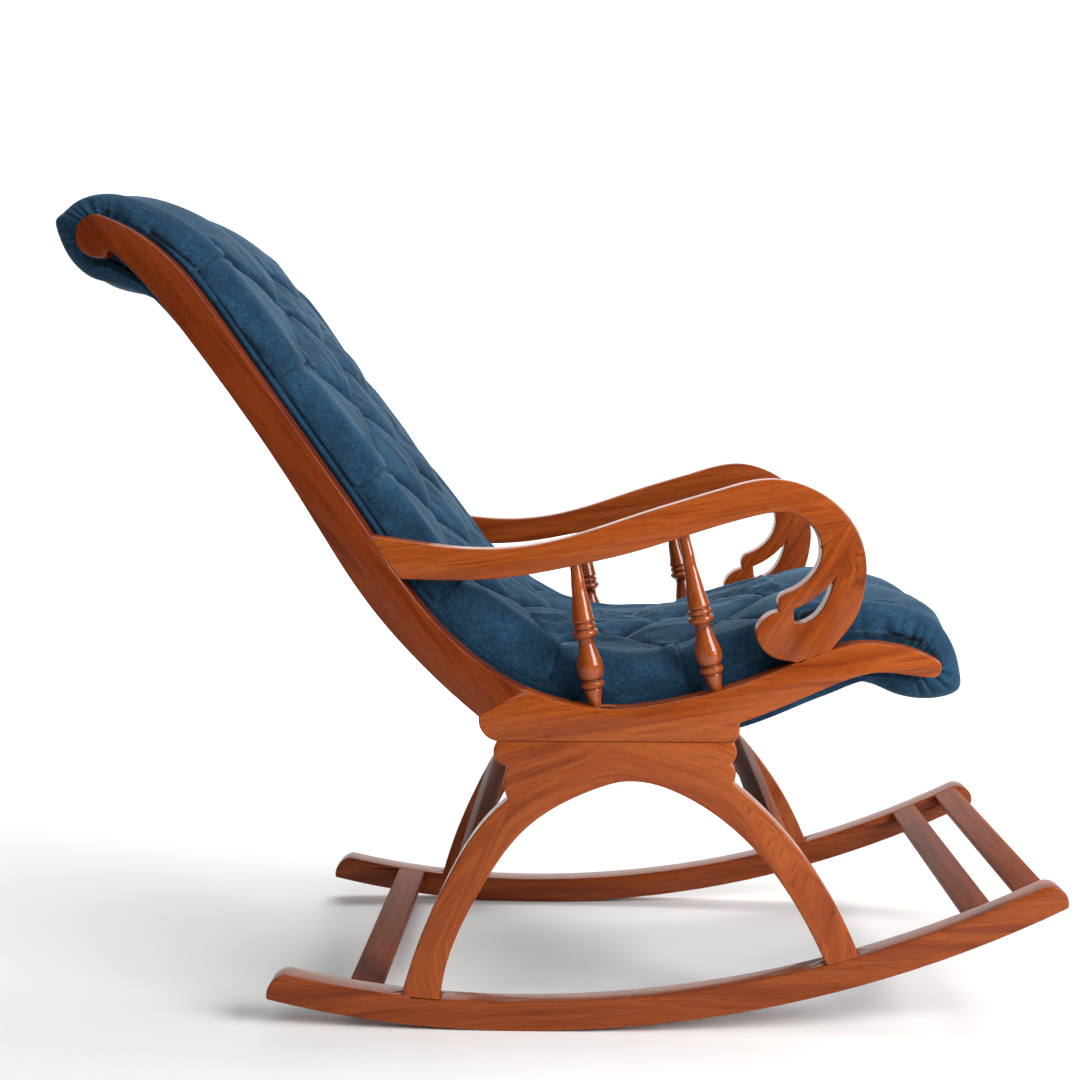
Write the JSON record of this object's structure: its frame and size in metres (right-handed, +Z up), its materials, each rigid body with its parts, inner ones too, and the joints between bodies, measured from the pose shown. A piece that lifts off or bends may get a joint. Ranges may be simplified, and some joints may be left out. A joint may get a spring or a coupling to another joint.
{
  "type": "rocking chair",
  "caption": "Wooden rocking chair on curved runners, with scrolled arms, turned spindles, foot slats and a tufted cloth-covered seat and back",
  "frame": {"origin": "On the floor under the middle of the chair's overall length and width", "axes": "+X towards the foot slats, which is the way the sitter faces, +Y towards the sitter's left, +Z up"},
  "size_m": [1.2396, 0.6, 1.026],
  "materials": {
    "teak": "gloss",
    "bare_wood": "matte",
    "plywood": "matte",
    "dowel_wood": "matte",
    "velvet": "matte",
    "lining_cloth": "matte",
    "foam": "matte",
    "steel": "satin"
  },
  "bodies": {
    "root": {"arm_dowels": "dowel_wood", "arm_left": "teak", "arm_right": "teak", "arm_scroll_left": "teak", "arm_scroll_right": "teak", "back_foam": "foam", "back_lining": "lining_cloth", "back_pad": "velvet", "back_plywood": "plywood", "back_rail_left": "teak", "back_rail_right": "teak", "cross_piece_dowels": "dowel_wood", "front_leg_left": "teak", "front_leg_right": "teak", "front_seat_bar": "bare_wood", "front_spindle_left": "teak", "front_spindle_right": "teak", "front_stretcher": "teak", "head_bar": "bare_wood", "head_roll": "velvet", "hip_bar": "bare_wood", "inner_foot_slat": "teak", "leg_dowels": "dowel_wood", "lining_tacks": "steel", "middle_back_bar": "bare_wood", "middle_seat_bar": "bare_wood", "outer_foot_slat": "teak", "rail_dowels": "dowel_wood", "rear_leg_left": "teak", "rear_leg_right": "teak", "rear_seat_bar": "bare_wood", "rear_slat": "teak", "rear_spindle_left": "teak", "rear_spindle_right": "teak", "rear_stretcher": "teak", "runner_dowels": "dowel_wood", "runner_left": "teak", "runner_right": "teak", "seat_foam": "foam", "seat_lining": "lining_cloth", "seat_pad": "velvet", "seat_plywood": "plywood", "seat_rail_left": "teak", "seat_rail_right": "teak", "toe_bar": "bare_wood", "toe_roll": "velvet", "upper_back_bar": "bare_wood"}
  },
  "joints": []
}
